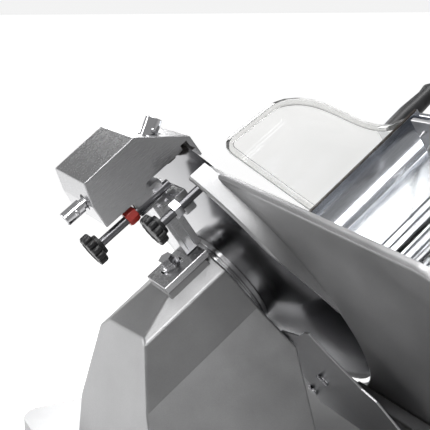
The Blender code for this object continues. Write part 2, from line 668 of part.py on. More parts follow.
def make_sharpener_frame():
    foot = box_mesh("foot", (31, 10, 60.8), (83, 50, 68), 0.8)
    foot = add_object("sharpener_foot", foot, polished("foot_steel"), head)
    combine(foot, box_mesh("foot_slot", (50, 22, 50), (72, 30, 80)), head)
    lean, depth = 0.15, 26.0
    arm = [(s, 34 + lean * (u - 68) - back, u) for s in (26, 45) for u in (68.4, 150) for back in (0, depth)]
    post = add_object("sharpener_arm", hull_mesh("sharpener_arm", arm, round_by=0.8),
                      polished("arm_steel"), head)
    ribs = [hull_mesh("arm_rib", [(s + w, 34 + lean * (u - 68) + d, u) for w in (0, 3) for u in (72, 128)
                                  for d in (-3, 2.2)]) for s in (30, 38)]
    combine(post, group("arm_ribs", ribs), head, operation="UNION")
    lug = box_mesh("lug", (16, 5, 112), (29, 62, 134), 2)
    combine(post, lug, head, operation="UNION")
    saddle = box_mesh("saddle", (30, -6, 131), (58, 43.5, 150), 2)
    combine(post, saddle, head, operation="UNION")
    press_block = box_mesh("press_block", (36, 12, 140), (58, 46, 186), 2)
    combine(post, press_block, head, operation="UNION")
    combine(post, cylinder_mesh("set_bore", (0, *SET_ROD), (80, *SET_ROD), 4.4, sides=20), head)
    combine(post, cylinder_mesh("clamp_bore", (0, *KNOB_ROD), (80, *KNOB_ROD), 4.4, sides=20), head)
    combine(post, cylinder_mesh("press_bore", (0, *PRESS), (80, *PRESS), 5.3, sides=20), head)
    smooth(post)
    washer = cylinder_mesh("foot_bolt", (61, 26, 68.3), (61, 26, 70.4), 10, sides=28)
    bolt = add_object("foot_bolt", washer, chrome("foot_bolt_steel"), head)
    combine(bolt, cylinder_mesh("second_washer", (61, 26, 70), (61, 26, 72.6), 8, sides=28), head,
            operation="UNION")
    combine(bolt, cylinder_mesh("hex", (61, 26, 72), (61, 26, 78.5), 7.2, sides=6), head, operation="UNION")


def lobed_knob(name, start, direction, radius, thick, lobes, skin_name):
    """A black knob with finger lobes and a domed outer end."""
    count = lobes * 5
    bm = bmesh.new()
    layers = [(0, 0.62), (0, 0.95), (0.12, 1.0), (0.75, 1.0), (0.9, 0.93), (1.0, 0.72)]
    previous = None
    for height, scale in layers:
        ring = []
        for i in range(count):
            angle = math.tau * i / count
            lobe = 1 + 0.09 * math.cos(lobes * angle) * (1 if scale > 0.9 else 0)
            r = radius * scale * lobe / 1.09
            ring.append(bm.verts.new((r * math.cos(angle), r * math.sin(angle), thick * height)))
        if previous:
            for k in range(count):
                bm.faces.new((previous[k], previous[(k + 1) % count], ring[(k + 1) % count], ring[k]))
        else:
            bm.faces.new(ring)
        previous = ring
    bm.faces.new(previous)
    bmesh.ops.rotate(bm, verts=bm.verts, cent=(0, 0, 0),
                     matrix=Vector(direction).to_track_quat("Z", "Y").to_matrix())
    bmesh.ops.translate(bm, verts=bm.verts, vec=start)
    return add_object(name, mesh_from(bm, name), black_plastic(skin_name), head, (0, *start[1:]))


def make_sharpener_controls():
    clamp = lobed_knob("clamp_knob", (99, *KNOB_ROD), (1, 0, 0), 15, 15, 8, "clamp_knob_plastic")
    setting = lobed_knob("setting_knob", (51, *SET_ROD), (1, 0, 0), 15, 15, 8, "setting_knob_plastic")
    smooth(clamp, 40)
    smooth(setting, 40)
    turned("clamp_rod", [(0, 20), (4, 20), (4, 98.7), (0, 98.7)], dark_steel("clamp_rod_steel"), head,
           (0, *KNOB_ROD), steps=20)
    turned("setting_screw", [(0, 2), (3.2, 2), (4, 3), (4, 50.7), (0, 50.7)], dark_steel("setting_steel"), head,
           (0, *SET_ROD), steps=20)
    y, u = KNOB_ROD
    rings = ((59, 6.8), (62, 7.8), (68, 7.8), (70, 6.6))
    collar = hull_mesh("clamp_collar", [(s, y + a, u + b) for s, r in rings
                                        for a, b in arc((0, 0), r, 0, 315, 7)])
    collar = add_object("clamp_collar", collar, material("collar_red", (0.42, 0.035, 0.025), 0.4), head)
    combine(collar, cylinder_mesh("collar_bore", (50, *KNOB_ROD), (90, *KNOB_ROD), 4.3, sides=20), head)
    nut = cylinder_mesh("setting_nut", (29.3, *SET_ROD), (37, *SET_ROD), 8.6, sides=6)
    nut = add_object("setting_nut", nut, chrome("setting_nut_steel"), head)
    combine(nut, cylinder_mesh("nut_bore", (20, *SET_ROD), (50, *SET_ROD), 4.3, sides=20), head)


def make_presses():
    y, u = PRESS
    cap = [(0, 110), (5.6, 110), (6.5, 109), (6.5, 90.5), (5, 90.3), (5, 14), (0, 14)]
    button = turned("grind_button", cap, chrome("grind_button_chrome"), head, (0, y, u), steps=28)
    stone_y, stone_u = STONE
    face = ((y - 7, u + 4), (y + 7, u + 4), (stone_y - 6, stone_u), (stone_y + 6, stone_u))
    lug = hull_mesh("stone_lug", [(s, a, b) for s in (15, 28) for a, b in face])
    combine_turned(button, lug)
    combine_turned(button, cylinder_mesh("stone_pin", (1.5, *STONE), (16, *STONE), 3, sides=16))
    turned("grind_spring", [(5.4, 58.4), (6.8, 58.4), (6.8, 80), (5.4, 80)], dark_steel("grind_spring_steel"),
           head, (0, y, u), steps=20, ring=True)
    turned("grinding_stone", [(3.4, -1.5), (11, -1.5), (11, 6), (7, 12), (3.4, 12)], stone("grinding_grit"),
           head, (0, *STONE), steps=32, ring=True)


def make_deburr():
    axis = Vector((-0.857, 0, 0.515))
    outer = Vector((-6.5, 30, 188.3))
    stem = cylinder_mesh("deburr_button", outer - axis * 18, outer + axis * 0.5, 7.5, sides=28)
    button = add_object("deburr_button", stem, chrome("deburr_button_chrome"), head, (0, 30, 184))
    bevelled(button, 0.8, 2)
    turned("deburr_stone", [(0, -14.8), (6, -14.8), (6, -11.8), (0, -11.8)], stone("deburr_grit"), head,
           (0, 30, 148), steps=20)


def make_all():
    make_base()
    make_feet()
    make_controls()
    make_dial()
    make_head_casting()
    make_drive()
    make_guard()
    make_gauge()
    make_deflector()
    make_bonnet()
    make_sharpener_frame()
    make_sharpener_controls()
    make_presses()
    make_deburr()
    make_carriage()


# ---------------------------------------------------------------- carriage
def make_carriage():
    turned("guide_rod", [(0, 190), (10, 190), (10, -190), (0, -190)], chrome("guide_rod_steel"), machine,
           (ROD_X, 0, ROD_Z), "Y", 24)
    block = box_mesh("carriage_arm", (-258, -40, 26), (-218, 40, 84), 2)
    block = add_object("carriage_arm", block, cast("carriage_casting"), machine)
    arm = [(x, y, 80) for x in (-256, -222) for y in (-36, 36)]
    arm += [from_head(s, y, TRAY_U - 5.3) for s in (-228, -190) for y in (-60, 60)]
    combine(block, hull_mesh("carriage_post", arm, round_by=2.0), machine, operation="UNION")
    combine(block, cylinder_mesh("slide_bore", (ROD_X, -300, ROD_Z), (ROD_X, 300, ROD_Z), 10 + GAP), machine)

    near, far = -16.0, -335.0
    floor = box_mesh("product_tray", (far, -145, TRAY_U - 5), (near, 110, TRAY_U), 1.0)
    tray = add_object("product_tray", floor, polished("tray_aluminium"), head)
    ribs = [box_mesh("rib", (far + 20, y, TRAY_U - 2), (near - 6, y + 4, TRAY_U + 1.6))
            for y in range(-27, 96, 13)]
    combine(tray, group("tray_ribs", ribs), head, operation="UNION")
    low, top, bend = TRAY_U + GAP, TRAY_U + 34, 30.0
    section = [(FENCE_Y + GAP, low), (FENCE_Y + GAP, top), (FENCE_Y + 4, top)]
    section += arc((FENCE_Y + 4 + bend, low + 0.8 + bend), bend, 180, 270, 12) + [(FENCE_Y + 6 + bend, low)]
    wall = blade_plane(outline_mesh("tray_fence", section, near - 4 - far), far, near - 4)
    fence = add_object("tray_fence", wall, polished("fence_aluminium"), head)
    end = box_mesh("tray_end", (far, FENCE_Y + 3, TRAY_U + GAP), (far + 6, 108, TRAY_U + 30), 1.0)
    combine(fence, end, head, operation="UNION")
    make_hand_guard()
    make_pusher(far)


def make_hand_guard():
    shape = [(-94, 52, 12), (-178, 46), (-192, 40), (-208, 29), (-222, 15), (-234, -1), (-245, -19),
             (-256, -38), (-268, -57), (-281, -73), (-296, -85), (-318, -94), (-330, -97, 4),
             (-330, -118, 4), (-150, -118, 6)]
    curve = [p if len(p) > 2 else (*p, 30) for p in shape]
    sheet = outline_mesh("hand_guard", rounded(curve[::-1], 2, 3), 8, 1.4, edge_steps=1)
    clear = material("guard_acrylic", (0.92, 0.92, 0.91), 0.03, 0.0, 0.35)
    guard = add_object("hand_guard", travel_plane(sheet, FENCE_Y - 8, FENCE_Y), clear, head)
    smooth(guard)
    low, high = (-322, FENCE_Y - 10.6, TRAY_U + 12), (-168, FENCE_Y - 8.3, TRAY_U + 28)
    strap = box_mesh("guard_strap", low, high, 0.6)
    strap = add_object("guard_strap", strap, polished("guard_strap_steel"), head)
    for s in (-180, -245, -310):
        stud = cylinder_mesh("stud", (s, FENCE_Y - 14, TRAY_U + 20), (s, FENCE_Y - 9, TRAY_U + 20), 5, sides=6)
        combine(strap, stud, head, operation="UNION")
    lug = box_mesh("handle_lug", (-300, FENCE_Y - 41, -118), (-293, FENCE_Y - 9, -96), 0.6)
    combine(strap, lug, head, operation="UNION")
    grip = [(0, 0), (9, 0), (12, -6), (13, -38), (11, -72), (13, -84), (9, -92), (0, -92)]
    place = (-300 - GAP, FENCE_Y - 28, -107)
    turned("carriage_handle", grip, black_plastic("handle_plastic"), head, place, "S", 24)


def make_pusher(far):
    """Meat pusher on its own rod behind the tray; it slides towards the blade and swings up."""
    y, u = 126.0, -112.0
    ends = (-60, far)
    posts = [box_mesh("post", (s, 90, TRAY_U - 22), (s + 10, 138, TRAY_U - 5.3), 1) for s in ends]
    rail = box_mesh("pusher_bracket", (far + 2, 92, TRAY_U - 20), (-52, 104, TRAY_U - 6), 1)
    mount = add_object("pusher_bracket", rail, cast("post_casting"), head)
    combine(mount, group("post_feet", posts), head, operation="UNION")
    uprights = [box_mesh("post_top", (s, 112, TRAY_U - 8), (s + 10, 138, u + 14), 1) for s in ends]
    combine(mount, group("post_tops", uprights), head, operation="UNION")
    combine(mount, cylinder_mesh("post_bore", (-400, y, u), (0, y, u), 8.3), head)
    turned("pusher_rod", [(0, -48), (8, -48), (8, far - 2), (0, far - 2)], chrome("pusher_rod_steel"), head,
           (0, y, u), steps=24)
    slide = [(8.3, -318), (13, -318), (13, -308), (8.3, -308)]
    turned("pusher_collar", slide, cast("collar_casting"), head, (0, y, u), steps=24, ring=True)
    pivot = (0, y, u)
    hub = box_mesh("pusher_arm", (-307.6, 113, u - 13), (-284, 139, u + 13), 2)
    arm = add_object("pusher_arm", hub, cast("pusher_casting"), head, pivot)
    reach = hull_mesh("reach", [(s, a, b) for s in (-304, -288) for a, b in ((120, -105), (132, -105), (100, -62),
                                                                             (100, -74), (-10, -62), (-10, -74))])
    combine(arm, reach, head, operation="UNION")
    combine(arm, cylinder_mesh("arm_bore", (-400, y, u), (0, y, u), 8.3), head)
    plate = box_mesh("pusher_plate", (-283.7, -55, TRAY_U + 4), (-278, 60, -52), 1)
    plate = add_object("pusher_plate", plate, polished("pusher_steel"), head, pivot)
    teeth = [cylinder_mesh("tooth", (-279, a, b), (-270, a, b), 3, 0.6, 8) for a in range(-40, 55, 19)
             for b in (-108, -88, -68)]
    combine(plate, group("pusher_teeth", teeth), head, operation="UNION")
    turned("pusher_handle", [(0, 0), (7, 0), (7, 6), (15, 14), (16, 30), (11, 42), (0, 45)],
           black_plastic("pusher_plastic"), head, (-296, -2, -61.7), "Z", 24)


make_all()
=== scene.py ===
"""Looks of a gravity-feed food slicer: materials, fine detail, light and camera."""
import math

import bmesh
import bpy
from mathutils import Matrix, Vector


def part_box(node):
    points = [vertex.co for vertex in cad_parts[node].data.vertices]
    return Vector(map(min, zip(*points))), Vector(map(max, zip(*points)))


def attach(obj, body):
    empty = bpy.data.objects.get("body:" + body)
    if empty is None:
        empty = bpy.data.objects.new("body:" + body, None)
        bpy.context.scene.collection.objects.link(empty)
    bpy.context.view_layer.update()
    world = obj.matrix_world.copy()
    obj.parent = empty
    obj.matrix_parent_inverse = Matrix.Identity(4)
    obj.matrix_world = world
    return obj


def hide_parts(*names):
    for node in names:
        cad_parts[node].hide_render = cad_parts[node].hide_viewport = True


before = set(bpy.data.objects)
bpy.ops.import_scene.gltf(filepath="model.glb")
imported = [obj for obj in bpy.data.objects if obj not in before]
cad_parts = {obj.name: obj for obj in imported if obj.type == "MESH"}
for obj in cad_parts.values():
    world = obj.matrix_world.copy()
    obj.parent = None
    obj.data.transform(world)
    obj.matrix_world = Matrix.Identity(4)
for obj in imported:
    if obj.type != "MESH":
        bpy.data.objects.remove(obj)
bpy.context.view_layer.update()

# ---------------------------------------------------------------- frame of the blade head, metres
MM = 0.001
TILT = math.radians(36)
CENTRE = Vector((96.1, -56.9, 290.0)) * MM
ACROSS = Vector((math.cos(TILT), 0, -math.sin(TILT)))
REAR = Vector((0, 1, 0))
UP = Vector((math.sin(TILT), 0, math.cos(TILT)))
GREY = (0.4, 0.4, 0.405)
RANGE_INPUTS = ("From Min", "From Max", "To Min", "To Max")


def head(s, y, u):
    """Head coordinates in millimetres as a place in the machine."""
    return CENTRE + (ACROSS * s + REAR * y + UP * u) * MM


# ---------------------------------------------------------------- materials
class Nodes:
    """A material's node tree, with short calls for the nodes used here."""

    def __init__(self, name):
        self.material = bpy.data.materials.new(name)
        self.material.use_nodes = True
        self.tree = self.material.node_tree
        self.tree.nodes.clear()
        self.output = self.add("ShaderNodeOutputMaterial")
        self.shader = self.add("ShaderNodeBsdfPrincipled")
        self.link(self.shader.outputs[0], self.output.inputs[0])
        self.coords = self.add("ShaderNodeTexCoord").outputs["Object"]

    def add(self, kind, **settings):
        node = self.tree.nodes.new(kind)
        for key, value in settings.items():
            setattr(node, key, value)
        return node

    def link(self, a, b):
        self.tree.links.new(a, b)

    def stretched(self, scale, turn=(0, 0, 0)):
        turned = self.add("ShaderNodeMapping")
        turned.inputs["Rotation"].default_value = turn
        self.link(self.coords, turned.inputs[0])
        sized = self.add("ShaderNodeMapping")
        sized.inputs["Scale"].default_value = scale
        self.link(turned.outputs[0], sized.inputs[0])
        return sized.outputs[0]

    def noise(self, scale, detail=4, rough=0.55, vector=None):
        node = self.add("ShaderNodeTexNoise")
        node.inputs["Scale"].default_value = scale
        node.inputs["Detail"].default_value = detail
        node.inputs["Roughness"].default_value = rough
        self.link(vector or self.coords, node.inputs["Vector"])
        return node.outputs["Fac"]

    def spread(self, value, low, high, start=0.3, end=0.7):
        node = self.add("ShaderNodeMapRange")
        self.link(value, node.inputs["Value"])
        for key, number in zip(RANGE_INPUTS, (start, end, low, high)):
            node.inputs[key].default_value = number
        return node.outputs[0]

    def math(self, operation, a, b):
        node = self.add("ShaderNodeMath", operation=operation)
        for slot, value in zip(node.inputs, (a, b)):
            if isinstance(value, (int, float)):
                slot.default_value = value
            else:
                self.link(value, slot)
        return node.outputs[0]

    def mix(self, factor, a, b):
        node = self.add("ShaderNodeMix", data_type="RGBA")
        self.link(factor, node.inputs["Factor"])
        for slot, value in ((node.inputs[6], a), (node.inputs[7], b)):
            if isinstance(value, tuple):
                slot.default_value = (*value[:3], 1)
            else:
                self.link(value, slot)
        return node.outputs[2]

    def bump(self, *layers):
        """Layers of (height, strength, distance in metres), one over the other."""
        last = None
        for height, strength, distance in layers:
            node = self.add("ShaderNodeBump")
            node.inputs["Strength"].default_value = strength
            node.inputs["Distance"].default_value = distance
            self.link(height, node.inputs["Height"])
            if last is not None:
                self.link(last, node.inputs["Normal"])
            last = node.outputs[0]
        self.link(last, self.shader.inputs["Normal"])

    def set(self, **values):
        for key, value in values.items():
            slot = self.shader.inputs[key.replace("_", " ")]
            if hasattr(value, "node"):
                self.link(value, slot)
            elif isinstance(value, tuple):
                slot.default_value = (*value[:3], 1)
            else:
                slot.default_value = value


def tone(colour, factor):
    return tuple(min(1, c * factor) for c in colour)


def cast_metal(name, colour, rough, grain=0.35):
    """Satin cast metal: fine sandy grain, cloudy sheen, darker handling marks."""
    n = Nodes(name)
    cloud = n.noise(14, 5)
    sand = n.noise(1500, 3, 0.6)
    pits = n.noise(420, 2, 0.5)
    shade = n.mix(n.spread(cloud, 0, 1), tone(colour, 0.86), tone(colour, 1.1))
    shade = n.mix(n.spread(sand, 0, 0.35), shade, tone(colour, 0.6))
    sheen = n.spread(cloud, rough - 0.05, rough + 0.06)
    n.set(Base_Color=shade, Metallic=0.92, Roughness=n.math("ADD", sheen, n.spread(sand, 0, 0.06)))
    n.bump((sand, grain, 0.00022), (pits, grain * 0.5, 0.0004))
    return n.material


def polished_metal(name, colour, rough, smear=0.06):
    """Polished casting: long soft waves left by the wheel and faint hairlines."""
    n = Nodes(name)
    waves = n.noise(22, 2, 0.4)
    lines = n.noise(1, 3, 0.6, n.stretched((90, 90, 2600), (0, -TILT, 0.35)))
    smudge = n.noise(9, 6)
    shade = n.mix(n.spread(smudge, 0, 1), tone(colour, 0.9), tone(colour, 1.06))
    sheen = n.spread(smudge, rough, rough + smear)
    n.set(Base_Color=shade, Metallic=1.0, Roughness=n.math("ADD", sheen, n.spread(lines, 0, smear)))
    n.bump((waves, 0.25, 0.0012), (lines, 0.05, 0.00008))
    return n.material


def brushed_metal(name, colour, rough, along=(2400, 60, 2400)):
    """Grained sheet or turned metal: fine lines one way."""
    n = Nodes(name)
    lines = n.noise(1, 4, 0.6, n.stretched(along, (0, -TILT, 0)))
    smudge = n.noise(11, 5)
    shade = n.mix(n.spread(lines, 0, 1), tone(colour, 0.85), tone(colour, 1.12))
    n.set(Base_Color=shade, Metallic=1.0,
          Roughness=n.math("ADD", n.spread(lines, rough, rough + 0.1), n.spread(smudge, 0, 0.08)))
    n.bump((lines, 0.12, 0.0001))
    return n.material


def turned_metal(name, colour, rough, bands=900):
    """Lathe-turned metal: rings about the blade's axis."""
    n = Nodes(name)
    place = n.add("ShaderNodeMapping")
    place.inputs["Location"].default_value = tuple(-CENTRE)
    n.link(n.coords, place.inputs[0])
    square = n.add("ShaderNodeVectorMath", operation="LENGTH")
    n.link(place.outputs[0], square.inputs[0])
    rings = n.add("ShaderNodeTexNoise", noise_dimensions="1D")
    rings.inputs["Scale"].default_value = bands
    rings.inputs["Detail"].default_value = 5
    n.link(square.outputs["Value"], rings.inputs["W"])
    smudge = n.noise(10, 6)
    shade = n.mix(n.spread(smudge, 0, 1), tone(colour, 0.88), tone(colour, 1.08))
    lines = rings.outputs["Fac"]
    n.set(Base_Color=shade, Metallic=1.0,
          Roughness=n.math("ADD", n.spread(lines, rough, rough + 0.05), n.spread(smudge, 0, 0.05)))
    n.bump((lines, 0.06, 0.00006))
    return n.material


def chrome(name, colour=(0.78, 0.78, 0.8), rough=0.05):
    n = Nodes(name)
    smudge = n.noise(60, 5)
    fine = n.noise(900, 2)
    n.set(Base_Color=n.mix(n.spread(smudge, 0, 1), tone(colour, 0.92), colour), Metallic=1.0,
          Roughness=n.spread(smudge, rough, rough + 0.07))
    n.bump((fine, 0.03, 0.00005))
    return n.material


def plastic(name, colour, rough=0.42, grain=0.25, coat=0.0):
    """Moulded plastic or rubber: fine leathery grain, scuffs a little paler."""
    n = Nodes(name)
    skin = n.noise(900, 3, 0.55)
    scuff = n.noise(35, 6, 0.65)
    paler = tone(tuple(c + 0.03 for c in colour), 1.5)
    shade = n.mix(n.spread(scuff, 0, 0.5, 0.45, 0.8), colour, paler)
    n.set(Base_Color=shade, Roughness=n.spread(scuff, rough - 0.06, rough + 0.12), Coat_Weight=coat,
          Coat_Roughness=0.1)
    n.bump((skin, grain, 0.0001))
    return n.material


def abrasive(name, colour):
    n = Nodes(name)
    grit = n.noise(2600, 2, 0.7)
    shade = n.mix(n.spread(grit, 0, 1), tone(colour, 0.5), tone(colour, 2.2))
    n.set(Base_Color=shade, Roughness=0.9)
    n.bump((grit, 0.9, 0.0002))
    return n.material


def clear_plastic(name):
    """Cast acrylic sheet: clear faces with fine scratches, a faint grey body."""
    n = Nodes(name)
    scratch = n.noise(1, 3, 0.7, n.stretched((30, 900, 260), (0.4, 0.2, 0.9)))
    haze = n.noise(18, 4)
    n.set(Base_Color=n.mix(n.spread(haze, 0, 1), (0.92, 0.92, 0.91), (0.95, 0.95, 0.94)), IOR=1.49,
          Transmission_Weight=0.97, Roughness=n.spread(scratch, 0.01, 0.07, 0.55, 0.8))
    n.bump((scratch, 0.02, 0.00003))
    return n.material


def painted(name, colour):
    n = Nodes(name)
    peel = n.noise(260, 3)
    cloud = n.noise(20, 4)
    shade = n.mix(n.spread(cloud, 0, 1), tone(colour, 0.85), tone(colour, 1.15))
    n.set(Base_Color=shade, Coat_Weight=0.3, Roughness=n.spread(cloud, 0.35, 0.5))
    n.bump((peel, 0.12, 0.0003))
    return n.material


MATERIALS = {
    "cast": cast_metal("satin_cast", GREY, 0.36),
    "cast_soft": cast_metal("soft_cast", (0.5, 0.5, 0.51), 0.3, 0.2),
    "polished": polished_metal("polished_cast", (0.5, 0.5, 0.51), 0.2),
    "arm": polished_metal("polished_arm", (0.52, 0.52, 0.53), 0.24),
    "sheet": brushed_metal("satin_sheet", (0.5, 0.5, 0.51), 0.26),
    "fence": brushed_metal("fence_sheet", (0.62, 0.64, 0.68), 0.1, (60, 2400, 2400)),
    "tray": brushed_metal("tray_cast", (0.55, 0.57, 0.6), 0.16, (60, 2400, 2400)),
    "blade": turned_metal("blade_steel", (0.3, 0.3, 0.31), 0.13),
    "hub": turned_metal("turned_hub", (0.6, 0.6, 0.61), 0.16, 700),
    "chrome": chrome("chrome"),
    "dark_steel": brushed_metal("dark_steel", (0.2, 0.2, 0.21), 0.25, (2400, 2400, 60)),
    "iron": cast_metal("machined_iron", (0.3, 0.3, 0.31), 0.42),
    "black": plastic("black_plastic", (0.012, 0.012, 0.013), 0.36, 0.2),
    "rubber": plastic("black_rubber", (0.018, 0.018, 0.018), 0.7, 0.5),
    "red": plastic("red_plastic", (0.38, 0.028, 0.02), 0.3, 0.1, 0.3),
    "green": plastic("green_plastic", (0.02, 0.25, 0.06), 0.3, 0.1, 0.3),
    "seal": plastic("brown_seal", (0.03, 0.022, 0.016), 0.3, 0.1, 0.4),
    "stone": abrasive("abrasive", (0.12, 0.11, 0.1)),
    "clear": clear_plastic("clear_acrylic"),
    "enamel": painted("dark_enamel", (0.09, 0.1, 0.11)),
}
LOOK = {
    "cast": "base_body head_casting blade_guard guard_bracket pusher_bracket pusher_arm"
            " pusher_collar carriage_arm gauge_carrier",
    "cast_soft": "gauge_plate",
    "polished": "sharpener_bonnet sharpener_foot",
    "arm": "sharpener_arm",
    "sheet": "slice_deflector base_cover blade_cover guard_strap pusher_plate",
    "fence": "tray_fence",
    "tray": "product_tray",
    "blade": "blade",
    "hub": "blade_hub blade_clamp_ring spindle",
    "chrome": "setting_nut foot_bolt guide_rod pusher_rod grind_button deburr_button"
              " spindle_bearing deflector_screw_upper deflector_screw_lower",
    "dark_steel": "clamp_rod setting_screw grind_spring dial_cam_shaft",
    "iron": "bearing_sleeve blade_pulley motor_pulley gauge_guide",
    "black": "clamp_knob setting_knob carriage_handle pusher_handle thickness_dial"
             " control_panel mains_gland",
    "rubber": "drive_belt foot_front_product foot_front_slice foot_rear_slice foot_rear_product",
    "red": "clamp_collar stop_button",
    "green": "start_button",
    "stone": "grinding_stone deburr_stone",
    "clear": "hand_guard",
    "enamel": "motor",
}
SOFT_EDGE = {"cast": 1.0, "cast_soft": 0.8, "polished": 1.2, "arm": 0.7, "black": 0.6,
             "tray": 0.5, "fence": 0.5, "red": 0.5, "green": 0.5, "enamel": 1.0, "rubber": 0.8,
             "clear": 0.3, "sheet": 0.25, "iron": 0.4, "dark_steel": 0.2, "chrome": 0.3,
             "hub": 0.3, "blade": 0, "stone": 0.2}           # millimetres
EDGE_ANGLE, FLAT_EDGE_ANGLE = 30, 9  # degrees: the sharpness from which an edge is rounded
FLAT_EDGE_GROWTH = 1.8               # how much rounder the flat-faced pieces' edges are
FLAT_FACED = ("head_casting", "sharpener_bonnet", "base_body", "slice_deflector")


def smooth_by_angle(name, limit):
    """Geometry nodes: every edge flatter than the limit shades smooth."""
    tree = bpy.data.node_groups.new(name, "GeometryNodeTree")
    tree.interface.new_socket("Geometry", in_out="INPUT", socket_type="NodeSocketGeometry")
    tree.interface.new_socket("Geometry", in_out="OUTPUT", socket_type="NodeSocketGeometry")
    new, link = tree.nodes.new, tree.links.new
    start, end = new("NodeGroupInput"), new("NodeGroupOutput")
    angle = new("GeometryNodeInputMeshEdgeAngle")
    compare = new("FunctionNodeCompare")
    compare.operation = "LESS_EQUAL"
    compare.inputs[1].default_value = math.radians(limit)
    link(angle.outputs[0], compare.inputs[0])
    faces = new("GeometryNodeSetShadeSmooth")
    faces.domain = "FACE"
    edges = new("GeometryNodeSetShadeSmooth")
    edges.domain = "EDGE"
    link(start.outputs[0], faces.inputs[0])
    link(faces.outputs[0], edges.inputs[0])
    link(compare.outputs[0], edges.inputs["Shade Smooth"])
    link(edges.outputs[0], end.inputs[0])
    return tree


SMOOTHER = smooth_by_angle("smooth_rounds", 32)
CREASED = smooth_by_angle("smooth_fillets", 24)


def soften(obj, width, segments, angle):
    """Rounds the edges that the solid leaves sharp, and shades its curves smooth."""
    for name in ("custom_normal", "sharp_edge", "sharp_face"):
        if name in obj.data.attributes:
            obj.data.attributes.remove(obj.data.attributes[name])
    weld = obj.modifiers.new("weld", "WELD")
    weld.merge_threshold = 0.00001
    flat = obj.modifiers.new("planes", "DECIMATE")
    flat.decimate_type = "DISSOLVE"
    flat.angle_limit = math.radians(0.5)
    if width:
        edge = obj.modifiers.new("edges", "BEVEL")
        edge.width = width * MM
        edge.segments = segments
        edge.limit_method = "ANGLE"
        edge.angle_limit = math.radians(angle)
        edge.use_clamp_overlap = True
        edge.miter_outer = "MITER_ARC"
    nodes = obj.modifiers.new("smooth", "NODES")
    nodes.node_group = CREASED if angle == FLAT_EDGE_ANGLE else SMOOTHER
    even = obj.modifiers.new("even", "WEIGHTED_NORMAL")
    even.keep_sharp = True


def dress(node, look):
    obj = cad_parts[node]
    obj.data.materials.clear()
    obj.data.materials.append(MATERIALS[look])
    if node in FLAT_FACED:
        soften(obj, SOFT_EDGE[look] * FLAT_EDGE_GROWTH, 4, FLAT_EDGE_ANGLE)
    else:
        soften(obj, SOFT_EDGE[look], 4, EDGE_ANGLE)


for look, names in LOOK.items():
    for node in names.split():
        dress(node, look)


# ---------------------------------------------------------------- finer pieces
def piece(name, bm, look, body, stands_for=()):
    bmesh.ops.recalc_face_normals(bm, faces=bm.faces)
    mesh = bpy.data.meshes.new(name)
    bm.to_mesh(mesh)
    bm.free()
    obj = bpy.data.objects.new(name, mesh)
    bpy.context.scene.collection.objects.link(obj)
    mesh.materials.append(MATERIALS[look])
    nodes = obj.modifiers.new("smooth", "NODES")
    nodes.node_group = SMOOTHER
    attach(obj, body)
    if stands_for:
        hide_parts(*stands_for)
    return obj


def skin_rings(bm, rings):
    """Joins rings of equal length into a tube with closed ends."""
    made = [[bm.verts.new(p) for p in ring] for ring in rings]
    count = len(made[0])
    for a, b in zip(made, made[1:]):
        for i in range(count):
            j = (i + 1) % count
            bm.faces.new((a[i], a[j], b[j], b[i]))
    bm.faces.new(made[0])
    bm.faces.new(made[-1])


def across_rings(y, u, profile, steps, lobes=0, depth=0.0):
    """Rings about a line square to the blade: profile is (s, radius), lobes dent the radius."""
    rings = []
    for s, radius, dent in profile:
        ring = []
        for i in range(steps):
            angle = math.tau * i / steps
            wave = abs(math.sin(lobes * angle / 2)) ** 0.7 if lobes else 1
            r = radius - depth * dent * (1 - wave)
            ring.append(head(s, y + r * math.cos(angle), u + r * math.sin(angle)))
        rings.append(ring)
    return rings


def make_knob(node, body, y, u):
    """A moulded clamping knob: deep finger lobes, a rounded rim, a dished face and a neck."""
    low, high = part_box(node)
    centre = (low + high) / 2 - CENTRE
    middle = centre.dot(ACROSS) / MM
    size = high - low
    radius = size.y / 2 / MM
    thick = (size.x / MM - 2 * radius * abs(UP.x)) / abs(ACROSS.x)
    start, end = middle - thick / 2, middle + thick / 2
    bevel = 1.6
    rim = start + thick * 0.3
    profile = [(start, radius * 0.5, 0), (start, radius * 0.62, 0),
               (start + thick * 0.28, radius * 0.66, 0), (rim, radius - bevel, 0.9),
               (rim + bevel * 0.4, radius - 0.4, 1), (rim + bevel, radius, 1),
               (end - bevel, radius, 1), (end - bevel * 0.4, radius - 0.4, 1),
               (end, radius - bevel, 0.9), (end, radius * 0.72, 0.1), (end - 0.8, radius * 0.66, 0),
               (end - 0.8, radius * 0.3, 0), (end - 0.3, radius * 0.15, 0)]
    bm = bmesh.new()
    skin_rings(bm, across_rings(y, u, profile, 168, 12, 2.6))
    piece(node + "_moulding", bm, "black", body, (node,))


def make_rivet(name, body, place, normal, radius):
    """A small domed screw head with a cross recess, let into the face under it."""
    bm = bmesh.new()
    turn = normal.to_track_quat("Z", "Y")
    rings = []
    dome = ((-0.6, 1.0), (0.2, 1.0), (0.7, 0.8), (0.95, 0.45),
            (0.95, 0.3), (0.5, 0.24), (0.5, 0.08))           # height and share of the radius
    for height, share in dome:
        ring = []
        for i in range(24):
            a = math.tau * i / 24
            squeeze = 0.55 + 0.45 * abs(math.cos(2 * a)) if 0.1 < share < 0.4 else 1
            offset = Vector((math.cos(a), math.sin(a), 0)) * radius * share * squeeze
            ring.append(place + turn @ ((offset + Vector((0, 0, height * radius * 0.6))) * MM))
        rings.append(ring)
    skin_rings(bm, rings)
    piece(name, bm, "chrome", body)


